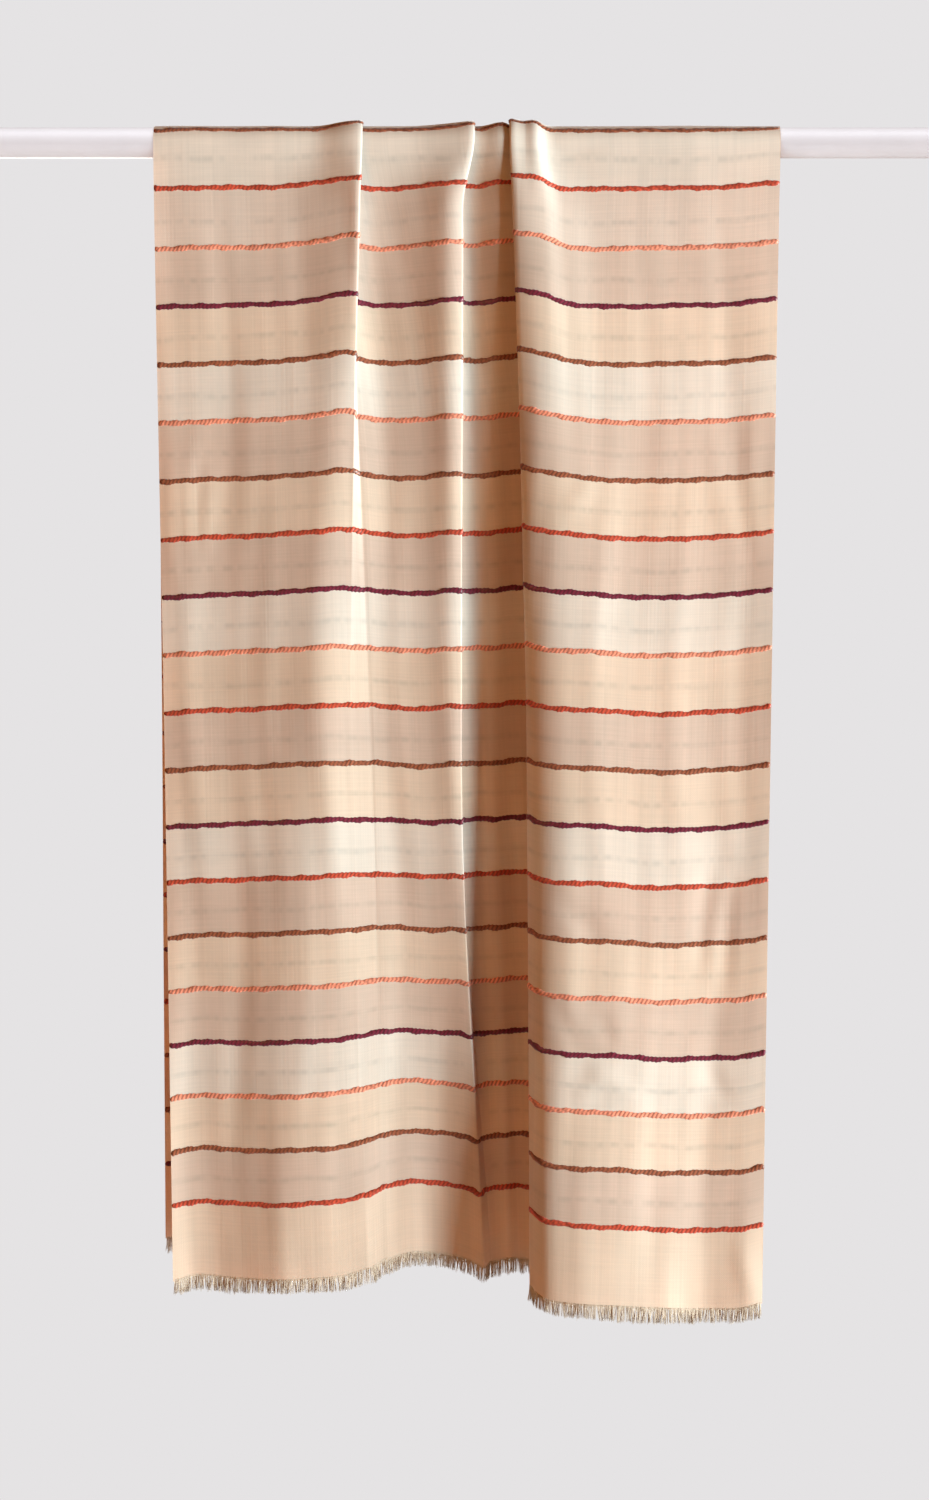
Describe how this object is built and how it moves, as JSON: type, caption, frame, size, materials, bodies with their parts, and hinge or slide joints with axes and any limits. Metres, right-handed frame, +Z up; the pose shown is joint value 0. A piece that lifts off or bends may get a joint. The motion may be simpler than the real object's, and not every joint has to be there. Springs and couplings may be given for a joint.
{
  "type": "stole on a rod",
  "caption": "A fine woven stole, striped across with thick yarns and fringed at each end, hung in soft pleats over a round white rod.",
  "frame": {"origin": "on the rod's axis, under the middle of the cloth, where the rod is held", "axes": "+X along the rod to the right, +Y away from the front of the stole, +Z up"},
  "size_m": [0.86, 0.1198, 1.0279],
  "materials": {
    "cloth": "fine plain weave in cream, gold and rose bands, with a soft sheen",
    "fringe": "short cut warp ends, matt",
    "rod": "smooth white paint, satin"
  },
  "bodies": {
    "root": {"rod": "rod", "stole_over_rod": "cloth", "stole_front_fall": "cloth", "stole_back_fall": "cloth", "fringe_front": "fringe", "fringe_back": "fringe"}
  },
  "joints": []
}
